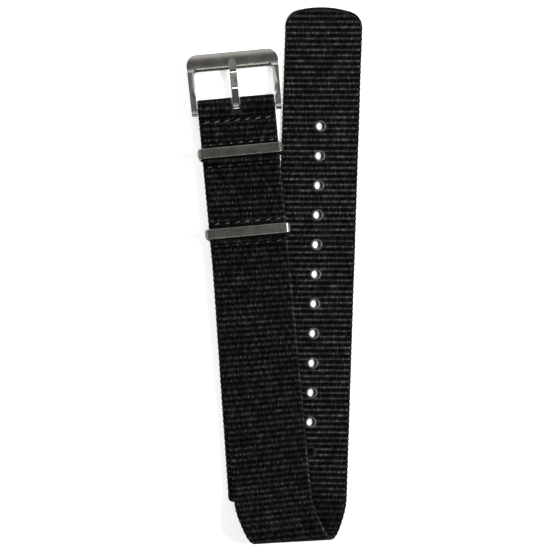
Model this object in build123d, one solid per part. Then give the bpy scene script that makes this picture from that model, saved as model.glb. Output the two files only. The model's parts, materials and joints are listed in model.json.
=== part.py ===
from build123d import *

import os
from math import acos, asin, atan2, cos, degrees, hypot, radians, sin, sqrt, tan

# A one-piece nylon watch strap, 20 mm wide, lying folded over on a flat surface.
# Lengths are in millimetres and angles in degrees. +Z is up, and +Y runs from the fold to the buckle.
# The long strap goes round the spring bar, runs down the left, turns over at the fold and comes back as the
# tail, under its own edge. The under strap lies beneath the long one, from the buckle to its free end.

# Webbing
webbing_width = 19.8
webbing_thickness = 1.2
ply_gap = 0.05
main_length = 95.1
tail_length = 120.25
main_lean_angle = 5.3
tail_lean_angle = 1.9
tail_to_lug_gap = 0.25

# Fold at the bottom, where the long strap turns over
fold_radius = 3.6
fold_rise_radius = 9.0
fold_rise_angle = 25.0
fold_turn = 3.15
fold_drift_share = 0.7
fold_steps = 4
fold_step_angle = 22.5

# Tail end and its holes
tip_crown_radius = 25.0
tip_corner_radius = 2.8
first_hole_distance = 30.7
hole_pitch = 7.63
hole_radius = 1.0
hole_count = 12

# Under strap and the sewn fold-back
under_start = 2.2
under_length = 98.9
under_corner_radius = 1.3
under_lean_angle = 1.35
fold_back_length = 17.0

# Keeper rings and the sewn tunnels that hold them
keeper_clearance = 0.3
keeper_strip_thickness = 0.8
keeper_strip_width = 2.7
keeper_edge_radius = 0.3
keeper_corner_radius = 1.2
keeper_end_radius = 1.0
keeper_room = 1.6
tunnel_height = 1.3
tunnel_flat = 2.3
tunnel_bend_radius = 1.05
upper_tunnel_distance = 11.8
lower_tunnel_distance = 32.15
upper_keeper_angle = 9.0
lower_keeper_angle = 4.0

# Seams: distances from the spring bar, and one stitch
first_seam_distance = 3.1
seam_to_tunnel = 2.7
seam_sink = 0.3
seam_groove_width = 1.0
thread_width = 0.45
thread_height = 0.26
thread_gap = 0.02
stitch_pitch = 2.65
stitch_length = 2.0
stitch_slant = 17.0
stitch_margin = 0.6

# Spring bar
bar_radius = 0.75
bar_bore_radius = 0.5
bar_end_gap = 0.15
bar_lip_radius = 0.44
bar_lip_length = 0.3
pin_radius = 0.4
pin_head_radius = 0.46
pin_head_length = 1.0
pin_play = 0.05
spring_wire_radius = 0.07
spring_coil_radius = 0.36
spring_pitch = 0.9

# Loop of webbing round the spring bar
bar_loop_clearance = 0.85
bar_foot_radius = 1.6

# Buckle
buckle_side_clearance = 0.25
buckle_lug_arm = 1.4
buckle_top_arm = 1.75
buckle_reach = 14.65
buckle_bar_width = 4.45
buckle_bar_thickness = 2.0
buckle_lug_radius = 1.4
buckle_corner_radius = 3.0
buckle_inner_corner_radius = 1.0
buckle_edge_radius = 0.5
buckle_crown_height = 0.3
buckle_arm_round = 1.2
buckle_wall_bevel_width = 0.45
buckle_wall_bevel_depth = 0.65
buckle_rim_bevel_width = 0.45
buckle_rim_bevel_depth = 0.25
buckle_bevel_from_bar = 1.0
buckle_bevel_end_radius = 5.0
pin_hole_radius = 0.45
pin_hole_depth = 0.95
pin_reach = 0.85
table_gap = 0.03

# Tang
tang_eye_radius = 1.25
tang_bore_gap = 0.05
tang_width = 1.9
tang_tip_width = 1.85
tang_thickness = 0.95
tang_edge_radius = 0.25
tang_straight = 4.9
tang_overlap = 2.35
tang_landing = 3.2
tang_rest_gap = 0.05
tang_tip_drop = 0.35
tang_bend_radius = 2.0
tang_tip_round_share = 0.9
slot_width = 2.4
slot_past_bar = 0.95
slot_corner_radius = 0.4

overrun = 1.0

# Heights of the layers
half_thickness = webbing_thickness / 2
floor_mid = half_thickness
under_bottom = webbing_thickness + ply_gap
under_top = under_bottom + webbing_thickness
front_mid = under_top + ply_gap + half_thickness
front_top = front_mid + half_thickness
tunnel_rise = tunnel_height - ply_gap
bar_loop_radius = bar_radius + bar_loop_clearance + half_thickness
bar_height = floor_mid + bar_loop_radius

# Lean of each leg from the line that the fold is rolled about
main_leg_angle = main_lean_angle - fold_turn
tail_leg_angle = tail_lean_angle + fold_turn

# Distances from the spring bar of the tunnels' middles and of the seams
tunnels = {"upper": upper_tunnel_distance, "lower": lower_tunnel_distance}
seam_distances = [first_seam_distance]
for tunnel in tunnels.values():
    seam_distances += [tunnel - seam_to_tunnel, tunnel + seam_to_tunnel]


class Ribbon:
    """The centre line of a strip seen from its edge, walked as straight runs and round turns."""

    def __init__(self, along, height, heading):
        self.spots = [(Vector(along, height), heading)]
        self.pieces = []

    def run(self, length):
        """Goes straight on for a length."""
        spot, heading = self.spots[-1]
        step = Vector(cos(radians(heading)), sin(radians(heading))) * length
        self.pieces.append((length, None, 0))
        self.spots.append((spot + step, heading))

    def run_to(self, along):
        """Goes straight on until a place along the strip."""
        spot, heading = self.spots[-1]
        self.run((along - spot.X) / cos(radians(heading)))

    def turn(self, radius, angle):
        """Turns on a radius, to the left by a positive angle and to the right by a negative one."""
        spot, heading = self.spots[-1]
        self.pieces.append((radius * radians(abs(angle)), radius, angle))
        self.spots.append((self.turned(spot, heading, radius, angle, 0), heading + angle))

    def turned(self, spot, heading, radius, angle, offset):
        """Where a turn ends, for a line set to the left of the centre line by an offset."""
        side = 1 if angle > 0 else -1
        left = Vector(-sin(radians(heading)), cos(radians(heading)))
        centre = spot + left * (side * radius)
        end_left = Vector(-sin(radians(heading + angle)), cos(radians(heading + angle)))
        return centre + end_left * (offset - side * radius)

    def length(self):
        """Length of the whole centre line."""
        return sum(piece[0] for piece in self.pieces)

    def place(self, distance):
        """Point and heading at a distance along the centre line."""
        for (spot, heading), (length, radius, angle) in zip(self.spots, self.pieces):
            if distance <= length:
                break
            distance -= length
        else:
            distance += length
        if radius is None:
            step = Vector(cos(radians(heading)), sin(radians(heading))) * distance
            return spot + step, heading
        part = angle * distance / length
        return self.turned(spot, heading, radius, part, 0), heading + part

    def face(self, thickness):
        """The strip's side face, in the plane of the centre line."""
        sides = []
        for offset in (thickness / 2, -thickness / 2):
            edges = []
            for (spot, heading), (length, radius, angle) in zip(self.spots, self.pieces):
                left = Vector(-sin(radians(heading)), cos(radians(heading)))
                start = spot + left * offset
                if radius is None:
                    step = Vector(cos(radians(heading)), sin(radians(heading))) * length
                    edges.append(Edge.make_line(start, start + step))
                else:
                    middle = self.turned(spot, heading, radius, angle / 2, offset)
                    end = self.turned(spot, heading, radius, angle, offset)
                    edges.append(Edge.make_three_point_arc(start, middle, end))
            sides.append(edges)
        starts = [edges[0].position_at(0) for edges in sides]
        ends = [edges[-1].position_at(1) for edges in sides]
        caps = [Edge.make_line(*starts), Edge.make_line(*ends)]
        return Face(Wire(sides[0] + sides[1] + caps))


def side_plane(half_width):
    """A plane across the strap whose own X runs towards the buckle and whose own Y is up."""
    return Plane(origin=(-half_width, 0, 0), x_dir=(0, 1, 0), z_dir=(1, 0, 0))


def across(face, width):
    """A side face pulled out to a width, centred on the strap."""
    return extrude(side_plane(width / 2) * face, amount=width, dir=(1, 0, 0))


def slab(width, low, high, bottom, top):
    """A block across the strap between two places along it and two heights."""
    middle = Pos(0, (low + high) / 2, (bottom + top) / 2)
    return middle * Box(width, high - low, top - bottom)


def tunnel_bend():
    """Angle of each bend where the front layer climbs over a keeper's bar."""
    return degrees(acos(1 - tunnel_rise / (2 * tunnel_bend_radius)))


def buckle_end_ribbon():
    """Fold-back, turn round the spring bar, and the front layer over both tunnels, to the fold."""
    strip = Ribbon(-fold_back_length, floor_mid, 0)
    strip.run_to(0)
    drop = floor_mid + 2 * bar_loop_radius - front_mid
    dip = degrees(acos(1 - drop / (bar_loop_radius + bar_foot_radius)))
    strip.turn(bar_loop_radius, 180 + dip)
    strip.turn(bar_foot_radius, -dip)
    bend = tunnel_bend()
    climb = 2 * tunnel_bend_radius * sin(radians(bend))
    for distance in tunnels.values():
        strip.run_to(tunnel_flat / 2 + climb - distance)
        strip.turn(tunnel_bend_radius, -bend)
        strip.turn(tunnel_bend_radius, bend)
        strip.run(tunnel_flat)
        strip.turn(tunnel_bend_radius, bend)
        strip.turn(tunnel_bend_radius, -bend)
    strip.run_to(-main_length)
    return strip


def fold_ribbon():
    """The fold seen along the line that it is rolled about: a climb, the turn and the flat way back."""
    strip = Ribbon(0, front_mid, 180)
    strip.turn(fold_rise_radius, -fold_rise_angle)
    lift = 2 * fold_radius + floor_mid - front_mid
    bends = (fold_rise_radius + fold_radius) * (1 - cos(radians(fold_rise_angle)))
    strip.run((lift - bends) / sin(radians(fold_rise_angle)))
    strip.turn(fold_radius, 180 + fold_rise_angle)
    strip.run_to(0)
    return strip


def fold_lean(strip, distance):
    """How far the strap leans from the roll at a distance along the fold, from leg to leg."""
    share = distance / strip.length()
    return main_leg_angle + (tail_leg_angle - main_leg_angle) * share


def lean_shift(strip, distance):
    """How far the strap's own lean has moved it sideways at a distance along the fold."""
    mean_lean = (main_leg_angle + fold_lean(strip, distance)) / 2
    return distance * tan(radians(mean_lean))


def tail_foot():
    """How far to the side the tail starts, so that its edge passes just outside the buckle's lug."""
    leg = radians(main_leg_angle)
    lean = radians(tail_leg_angle)
    lug_half = buckle_inner_width() / 2 + buckle_lug_arm
    lug_along = main_length * cos(leg) + lug_half * sin(leg) - buckle_lug_radius * cos(leg)
    lug_aside = lug_half * cos(leg) + buckle_lug_radius * sin(leg) - main_length * sin(leg)
    reach = webbing_width / 2 + tail_to_lug_gap
    return lug_aside + (reach - lug_along * sin(lean)) / cos(lean)


def fold_shift(strip, distance):
    """How far the strap has moved sideways at a distance along the fold, by lean and by drift."""
    drift = tail_foot() - lean_shift(strip, strip.length())
    share = (distance / strip.length() - 1 / 2) / fold_drift_share + 1 / 2
    share = min(max(share, 0), 1)
    return lean_shift(strip, distance) + drift * share**2 * (3 - 2 * share)


def fold_section(strip, distance):
    """The cross-section of the strap at a distance along the fold."""
    spot, heading = strip.place(distance)
    forward = Vector(0, cos(radians(heading)), sin(radians(heading)))
    left = Vector(0, -sin(radians(heading)), cos(radians(heading)))
    lean = radians(fold_lean(strip, distance))
    wide = Vector(cos(lean), 0, 0) - forward * sin(lean)
    origin = Vector(fold_shift(strip, distance), spot.X, spot.Y)
    plane = Plane(origin=origin, x_dir=wide, z_dir=wide.cross(left))
    return plane * Rectangle(webbing_width, webbing_thickness)


def fold_solid(strip):
    """The turned-over stretch of the long strap, through cross-sections that drift sideways."""
    stretches = []
    start = 0
    for length, _, angle in strip.pieces:
        steps = fold_steps + round(abs(angle) / fold_step_angle)
        distances = [start + length * step / steps for step in range(steps + 1)]
        stretches.append(loft([fold_section(strip, distance) for distance in distances]))
        start += length
    reach = 2 * (strip.length() + webbing_width)
    above_table = Pos(0, 0, reach / 2) * Box(reach, reach, reach)
    return (Part() + stretches) & above_table


def tail_outline():
    """The tail in plan, from the foot of the fold to its domed tip, at zero height."""
    half = webbing_width / 2
    shoulder = tail_length - tip_crown_radius + sqrt(tip_crown_radius**2 - half**2)
    edges = [
        Edge.make_line((-half, 0), (half, 0)),
        Edge.make_line((half, 0), (half, shoulder)),
        Edge.make_three_point_arc((half, shoulder), (0, tail_length), (-half, shoulder)),
        Edge.make_line((-half, shoulder), (-half, 0)),
    ]
    outline = Sketch() + Face(Wire(edges))
    corners = outline.vertices().sort_by(Axis.Y)[2:]
    return fillet(corners, tip_corner_radius)


def tail_solid():
    """The tail with its row of holes."""
    tail = extrude(tail_outline(), amount=webbing_thickness)
    for index in range(hole_count):
        height = tail_length - first_hole_distance - hole_pitch * index
        tail -= Pos(0, height, floor_mid) * Cylinder(hole_radius, webbing_thickness + overrun)
    return tail


def tang_slot():
    """The slot through both layers of the loop round the spring bar, which the tang passes through."""
    low = -slot_past_bar
    high = bar_loop_radius + half_thickness + overrun
    top = 2 * bar_loop_radius + floor_mid + half_thickness + overrun
    cut = slab(slot_width, low, high, -overrun, top)
    return fillet(cut.edges().filter_by(Axis.Z).group_by(Axis.Y)[0], slot_corner_radius)


def seam_groove(distance, bottom, top):
    """The shallow line that a row of stitches draws into the webbing."""
    half = seam_groove_width / 2
    return slab(webbing_width + overrun, -distance - half, -distance + half, bottom, top)


def main_webbing():
    """The long strap, as one piece of webbing."""
    front = across(buckle_end_ribbon().face(webbing_thickness), webbing_width)
    front -= tang_slot()
    for distance in seam_distances:
        front -= seam_groove(distance, front_top - seam_sink, front_top + overrun)
        if distance < fold_back_length:
            front -= seam_groove(distance, -overrun, seam_sink)
    fold = fold_ribbon()
    tail = Pos(tail_foot(), 0, 0) * Rot(0, 0, -tail_leg_angle) * tail_solid()
    return main_place() * front + fold_solid(fold) + tail


def under_webbing():
    """The under strap, from its sewn end near the spring bar to its free end."""
    half = webbing_width / 2
    bend = seam_distances[-1] + seam_groove_width
    lean = radians(under_lean_angle)
    free = Vector(-sin(lean), -cos(lean)) * (under_length + under_start - bend)
    side = Vector(cos(lean), -sin(lean)) * half
    outline = make_face(
        Polyline(
            (-half, -under_start),
            (half, -under_start),
            (half, -bend),
            Vector(0, -bend) + free + side,
            Vector(0, -bend) + free - side,
            (-half, -bend),
            close=True,
        )
    )
    outline = fillet(outline.vertices().sort_by(Axis.Y)[:2], under_corner_radius)
    strap = Pos(0, 0, under_bottom) * extrude(outline, amount=webbing_thickness)
    for distance in seam_distances:
        if distance > fold_back_length:
            strap -= seam_groove(distance, under_bottom - overrun, under_bottom + seam_sink)
    return main_place() * strap


def seam_thread(distance, bottom):
    """One thread of a seam: a row of short flat stitches across the strap."""
    room = webbing_width - 2 * stitch_margin
    count = int(room / stitch_pitch)
    stitch = extrude(SlotOverall(stitch_length, thread_width), amount=thread_height)
    stitches = []
    for index in range(count):
        place = (index - (count - 1) / 2) * stitch_pitch
        stitches.append(Pos(place, -distance, bottom) * Rot(0, 0, stitch_slant) * stitch)
    return main_place() * Compound(stitches)


def keeper_ring(distance, lean):
    """A closed ring bent from flat strip, leaning about its lower bar in the tunnel."""
    inner_width = webbing_width + 2 * keeper_clearance
    inner_height = tunnel_height / 2 + webbing_thickness + keeper_room - keeper_strip_thickness / 2
    outer_width = inner_width + 2 * keeper_strip_thickness
    outer_height = inner_height + 2 * keeper_strip_thickness
    inner_radius = keeper_corner_radius - keeper_strip_thickness
    outline = RectangleRounded(outer_width, outer_height, keeper_corner_radius)
    outline -= RectangleRounded(inner_width, inner_height, inner_radius)
    ring = extrude(Plane.XZ * outline, amount=keeper_strip_width / 2, both=True)
    rims = ring.faces().filter_by(Axis.Y).edges()
    ring = fillet(rims, keeper_edge_radius)
    ends = RectangleRounded(outer_width, keeper_strip_width, keeper_end_radius)
    ring &= extrude(ends, amount=outer_height, both=True)
    ring = Pos(0, 0, (inner_height + keeper_strip_thickness) / 2) * ring
    place = Pos(0, -distance, under_top + tunnel_height / 2)
    return main_place() * place * Rot(-lean, 0, 0) * ring


def main_place():
    """Where the long strap's buckle end lies: its origin is on the table under the spring bar."""
    away = Vector(-sin(radians(main_leg_angle)), cos(radians(main_leg_angle))) * main_length
    return Pos(away.X, away.Y, 0) * Rot(0, 0, main_leg_angle)


def buckle_dip():
    """How far the buckle hangs below level before its top bar rests on the table."""
    reach = buckle_reach - buckle_edge_radius
    depth = buckle_bar_thickness / 2 - buckle_edge_radius
    fall = bar_height - table_gap - buckle_edge_radius
    return degrees(asin(fall / hypot(reach, depth)) - atan2(depth, reach))


def buckle_place():
    """Where the buckle's own frame lies: its origin is in the middle of the spring bar."""
    return main_place() * Pos(0, 0, bar_height) * Rot(-buckle_dip(), 0, 0)


def buckle_inner_width():
    """Width between the buckle's arms."""
    return webbing_width + 2 * buckle_side_clearance


def buckle_side():
    """The buckle seen from its side: round lugs, tapering arms and a top bar with a crowned top."""
    window_top = buckle_reach - buckle_bar_width
    bar_half = buckle_bar_thickness / 2
    edge_top = bar_half - buckle_crown_height
    edges = [
        Edge.make_line((0, buckle_lug_radius), (0, -buckle_lug_radius)),
        Edge.make_line((0, -buckle_lug_radius), (window_top, -bar_half)),
        Edge.make_line((window_top, -bar_half), (buckle_reach, -bar_half)),
        Edge.make_line((buckle_reach, -bar_half), (buckle_reach, edge_top)),
        Edge.make_three_point_arc(
            (buckle_reach, edge_top),
            (buckle_reach - buckle_bar_width / 2, bar_half),
            (window_top, edge_top),
        ),
        Edge.make_line((window_top, edge_top), (0, buckle_lug_radius)),
    ]
    side = Sketch() + make_face(Wire(edges))
    side = fillet(side.vertices().sort_by(Axis.X)[-2:], buckle_edge_radius)
    return side + Circle(buckle_lug_radius)


def buckle_window_bevel(window_top, inset, foot, width, depth):
    """A sloping cut round the top of the window that fades out on the arms before it reaches the lugs."""
    low = buckle_bevel_from_bar
    mouth = Rectangle(buckle_inner_width() + 2 * inset, window_top - low + inset)
    mouth = Pos(0, (low + window_top + inset) / 2) * mouth
    low_corners = mouth.vertices().sort_by(Axis.Y)[:2]
    mouth = fillet(low_corners, buckle_bevel_end_radius)
    high_corners = mouth.vertices().sort_by(Axis.Y)[-2:]
    mouth = fillet(high_corners, buckle_inner_corner_radius + inset)
    slope = degrees(atan2(width, depth))
    return Pos(0, 0, foot) * extrude(mouth, amount=depth + overrun, taper=-slope)


def buckle_frame():
    """Top bar, arms and lugs in one piece, with a blind pin hole in each lug."""
    lug_half = buckle_inner_width() / 2 + buckle_lug_arm
    top_half = buckle_inner_width() / 2 + buckle_top_arm
    outline = make_face(
        Polyline(
            (-lug_half, -buckle_lug_radius),
            (lug_half, -buckle_lug_radius),
            (top_half, buckle_reach),
            (-top_half, buckle_reach),
            close=True,
        )
    )
    outline = fillet(outline.vertices().sort_by(Axis.Y)[2:], buckle_corner_radius)
    window_top = buckle_reach - buckle_bar_width
    window_height = window_top + buckle_lug_radius + overrun
    window = Pos(0, window_top - window_height / 2) * Rectangle(buckle_inner_width(), window_height)
    window = fillet(window.vertices().sort_by(Axis.Y)[2:], buckle_inner_corner_radius)
    plan = extrude(outline - window, amount=buckle_lug_radius + overrun, both=True)
    frame = plan & across(buckle_side(), 2 * top_half + overrun)
    round_width = RectangleRounded(2 * top_half, 2 * buckle_lug_radius + overrun, buckle_arm_round)
    frame &= extrude(Plane.XZ * round_width, amount=buckle_reach + overrun, both=True)
    wall_foot = buckle_bar_thickness / 2 - buckle_crown_height - buckle_wall_bevel_depth
    rim_foot = wall_foot + buckle_wall_bevel_depth
    frame -= buckle_window_bevel(window_top, 0, wall_foot, buckle_wall_bevel_width, buckle_wall_bevel_depth)
    frame -= buckle_window_bevel(
        window_top, buckle_wall_bevel_width, rim_foot, buckle_rim_bevel_width, buckle_rim_bevel_depth
    )
    for side_sign in (-1, 1):
        middle = side_sign * (buckle_inner_width() + pin_hole_depth - overrun) / 2
        hole = Cylinder(pin_hole_radius, pin_hole_depth + overrun)
        frame -= Pos(middle, 0, 0) * Rot(0, 90, 0) * hole
    return buckle_place() * frame


def buckle_tang():
    """The tongue: an eye round the spring bar and a tapered finger that lies on the top bar."""
    half = tang_thickness / 2
    tang_length = buckle_reach - buckle_bar_width + tang_overlap
    rest = buckle_bar_thickness / 2 + tang_rest_gap
    landing = tang_length - tang_landing
    profile = make_face(
        Polyline(
            (0, -half),
            (tang_straight, -half),
            (landing, rest),
            (tang_length, rest),
            (tang_length, rest + tang_thickness - tang_tip_drop),
            (landing, rest + tang_thickness),
            (tang_straight, half),
            (0, half),
            close=True,
        )
    )
    bends = [corner for corner in profile.vertices() if 0 < corner.X < tang_length - overrun]
    finger = fillet(bends, tang_bend_radius)
    body = across(finger, tang_width)
    rims = body.faces().filter_by(Axis.X).edges().filter_by(lambda edge: edge.center().Y > 0)
    body = fillet(rims, tang_edge_radius)
    eye = across(Sketch() + Circle(tang_eye_radius), tang_width)
    eye = fillet(eye.faces().filter_by(Axis.X).edges(), tang_edge_radius)
    body = body + eye - across(Sketch() + Circle(bar_radius + tang_bore_gap), tang_width + overrun)
    base_half = tang_width / 2
    tip_half = tang_tip_width / 2
    plan = make_face(
        Polyline(
            (-base_half, -tang_eye_radius),
            (base_half, -tang_eye_radius),
            (base_half, tang_eye_radius),
            (tip_half, tang_length),
            (-tip_half, tang_length),
            (-base_half, tang_eye_radius),
            close=True,
        )
    )
    plan = fillet(plan.vertices().sort_by(Axis.Y)[-2:], tip_half * tang_tip_round_share)
    tall = rest + tang_thickness + overrun
    return buckle_place() * (body & extrude(plan, amount=tall, both=True))


def bar_length():
    """Length of the spring bar's tube."""
    return buckle_inner_width() - 2 * bar_end_gap


def spring_bar_tube():
    """The tube, with a lip rolled in at each end that keeps the pins' heads inside."""
    length = bar_length()
    tube = Cylinder(bar_radius, length) - Cylinder(bar_bore_radius, length - 2 * bar_lip_length)
    tube -= Cylinder(bar_lip_radius, length + overrun)
    return buckle_place() * Rot(0, 90, 0) * tube


def spring_bar_pin(side_sign):
    """An end pin with its head inside the tube and its tip in the lug's hole."""
    head_end = bar_length() / 2 - bar_lip_length - pin_play
    tip_end = buckle_inner_width() / 2 + pin_reach
    head = Pos(0, 0, head_end - pin_head_length / 2) * Cylinder(pin_head_radius, pin_head_length)
    shank_length = tip_end - head_end
    shank = Pos(0, 0, head_end + shank_length / 2) * Cylinder(pin_radius, shank_length)
    pin = head + shank
    tip = pin.edges().filter_by(GeomType.CIRCLE).sort_by(Axis.Z)[-1]
    pin = fillet(tip, pin_radius / 2)
    return buckle_place() * Rot(0, 90 * side_sign, 0) * pin


def spring_bar_spring():
    """The coil spring between the two pins' heads."""
    room = bar_length() - 2 * (bar_lip_length + pin_head_length + 2 * pin_play)
    length = room - 2 * spring_wire_radius
    path = Helix(spring_pitch, length, spring_coil_radius)
    start = Plane(origin=path @ 0, z_dir=path % 0)
    coil = sweep(start * Circle(spring_wire_radius), path=path)
    return buckle_place() * Rot(0, 90, 0) * Pos(0, 0, -length / 2) * coil


def strap_nodes():
    """Every piece by its name, in the frame of the fold."""
    nodes = {
        "main_webbing": main_webbing(),
        "under_webbing": under_webbing(),
        "buckle_frame": buckle_frame(),
        "buckle_tang": buckle_tang(),
        "spring_bar_tube": spring_bar_tube(),
        "spring_bar_spring": spring_bar_spring(),
        "spring_bar_pin_left": spring_bar_pin(-1),
        "spring_bar_pin_right": spring_bar_pin(1),
    }
    nodes["keeper_ring_upper"] = keeper_ring(upper_tunnel_distance, upper_keeper_angle)
    nodes["keeper_ring_lower"] = keeper_ring(lower_tunnel_distance, lower_keeper_angle)
    for number, distance in enumerate(seam_distances, 1):
        needle_bottom = front_top - seam_sink + thread_gap
        lowest = 0 if distance < fold_back_length else under_bottom
        bobbin_bottom = lowest + seam_sink - thread_gap - thread_height
        nodes[f"seam_{number}_needle_thread"] = seam_thread(distance, needle_bottom)
        nodes[f"seam_{number}_bobbin_thread"] = seam_thread(distance, bobbin_bottom)
    return nodes


def main():
    """Turns the strap as it lies, sets its origin under the middle of its box, and writes each piece."""
    os.makedirs("parts", exist_ok=True)
    turned = {name: Rot(0, 0, fold_turn) * shape for name, shape in strap_nodes().items()}
    boxes = [shape.bounding_box() for shape in turned.values()]
    low = [min(tuple(box.min)[axis] for box in boxes) for axis in range(3)]
    high = [max(tuple(box.max)[axis] for box in boxes) for axis in range(3)]
    shift = Pos(-(low[0] + high[0]) / 2, -(low[1] + high[1]) / 2, -low[2])
    for name, shape in turned.items():
        export_step(shift * shape, f"parts/{name}.step")
    bar = shift * Rot(0, 0, fold_turn) * buckle_place()
    print("spring bar", bar.position, "turned", bar.orientation)
    for name, distance in tunnels.items():
        place = main_place() * Pos(0, -distance, under_top + tunnel_height / 2)
        print("keeper", name, (shift * Rot(0, 0, fold_turn) * place).position)
    print("size", [high[axis] - low[axis] for axis in range(3)])


main()
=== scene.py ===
"""Looks of a folded one-piece webbing watch strap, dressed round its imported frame.

Lengths are in metres and angles in degrees. +Z is up, and +Y runs from the fold towards the buckle.
"""

import json
import logging
from collections.abc import Callable, Iterable
from dataclasses import dataclass
from enum import Enum
from math import acos, atan2, cos, degrees, exp, floor, hypot, pi, radians, sin, sqrt, tan

import bmesh
import bpy
from mathutils import Matrix, Vector
from mathutils.noise import noise

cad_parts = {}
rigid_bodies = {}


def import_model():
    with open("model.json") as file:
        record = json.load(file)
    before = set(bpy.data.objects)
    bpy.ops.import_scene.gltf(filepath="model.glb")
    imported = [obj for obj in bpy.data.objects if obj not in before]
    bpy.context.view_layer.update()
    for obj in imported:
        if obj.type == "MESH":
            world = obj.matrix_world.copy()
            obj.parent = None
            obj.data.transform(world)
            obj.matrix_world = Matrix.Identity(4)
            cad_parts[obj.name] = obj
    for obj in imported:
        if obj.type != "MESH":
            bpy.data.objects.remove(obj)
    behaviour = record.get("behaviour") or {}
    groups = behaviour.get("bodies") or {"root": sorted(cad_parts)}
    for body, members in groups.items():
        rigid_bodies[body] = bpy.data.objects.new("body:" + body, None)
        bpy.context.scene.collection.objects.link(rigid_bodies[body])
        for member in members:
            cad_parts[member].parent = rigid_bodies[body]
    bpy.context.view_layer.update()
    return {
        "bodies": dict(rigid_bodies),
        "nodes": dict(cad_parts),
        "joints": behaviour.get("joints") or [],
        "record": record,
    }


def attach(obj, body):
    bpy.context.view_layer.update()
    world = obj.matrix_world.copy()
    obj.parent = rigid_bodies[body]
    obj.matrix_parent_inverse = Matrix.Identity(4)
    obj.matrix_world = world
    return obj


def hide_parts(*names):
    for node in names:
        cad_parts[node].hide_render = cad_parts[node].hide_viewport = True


STRIP_UV = "strip"
MELT = "melt"
INNER = "inner_face"
# Painted shade near the fold, which the webbing's material reads.
FOLD_SHADE = "fold_shade"

HALF_TURN = 180.0
FULL_TURN = 360.0

# Sizes that both straps and their finish share.
WIDTH = 0.0198
THICKNESS = 0.0012
RIB_PITCH = 0.00145

# How far the melt of an edge reaches, in widths of its sealed band.
CUT_END_MELT = 1.6
SEWN_END_MELT = 1.5
SLOT_MELT = 1.2

# The sockets of a Mix node that mixes colours.
MIX_SHARE = 0
MIX_LOW = 6
MIX_HIGH = 7
MIX_RESULT = 2

Colour = tuple[float, float, float]
log = logging.getLogger("strap")


class Thread(Enum):
    """The two threads of a lockstitch."""

    NEEDLE = "needle"
    BOBBIN = "bobbin"


# Shader building


class Value:
    """An output socket of a node, which Python's own arithmetic adds Math nodes to."""

    def __init__(self, tree: "Tree", socket: bpy.types.NodeSocket) -> None:
        """Keeps a socket with the tree that it belongs to.

        Args:
            tree: the tree that new nodes go into.
            socket: the output socket.
        """
        self.tree = tree
        self.socket = socket

    def math(self, operation: str, *values: "Value | float") -> "Value":
        """Returns the result of a new Math node, whose values are given in order."""
        settings = {"operation": operation}
        return self.tree.node("ShaderNodeMath", settings, dict(enumerate(values)))

    def __add__(self, other: "Value | float") -> "Value":
        """Returns self + other."""
        return self.math("ADD", self, other)

    def __radd__(self, other: float) -> "Value":
        """Returns other + self."""
        return self.math("ADD", other, self)

    def __sub__(self, other: "Value | float") -> "Value":
        """Returns self - other."""
        return self.math("SUBTRACT", self, other)

    def __rsub__(self, other: float) -> "Value":
        """Returns other - self."""
        return self.math("SUBTRACT", other, self)

    def __mul__(self, other: "Value | float") -> "Value":
        """Returns self * other."""
        return self.math("MULTIPLY", self, other)

    def __rmul__(self, other: float) -> "Value":
        """Returns other * self."""
        return self.math("MULTIPLY", other, self)

    def __truediv__(self, other: "Value | float") -> "Value":
        """Returns self / other."""
        return self.math("DIVIDE", self, other)

    def __pow__(self, other: "Value | float") -> "Value":
        """Returns self to the power of other."""
        return self.math("POWER", self, other)

    def __abs__(self) -> "Value":
        """Returns the size of self without its sign."""
        return self.math("ABSOLUTE", self)

    def fraction(self) -> "Value":
        """Returns what is left of self above the whole number below it."""
        return self.math("FRACT", self)

    def whole(self) -> "Value":
        """Returns the whole number below self."""
        return self.math("FLOOR", self)

    def within(self) -> "Value":
        """Returns self held between 0 and 1."""
        return self.math("MINIMUM", self.math("MAXIMUM", self, 0.0), 1.0)


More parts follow.
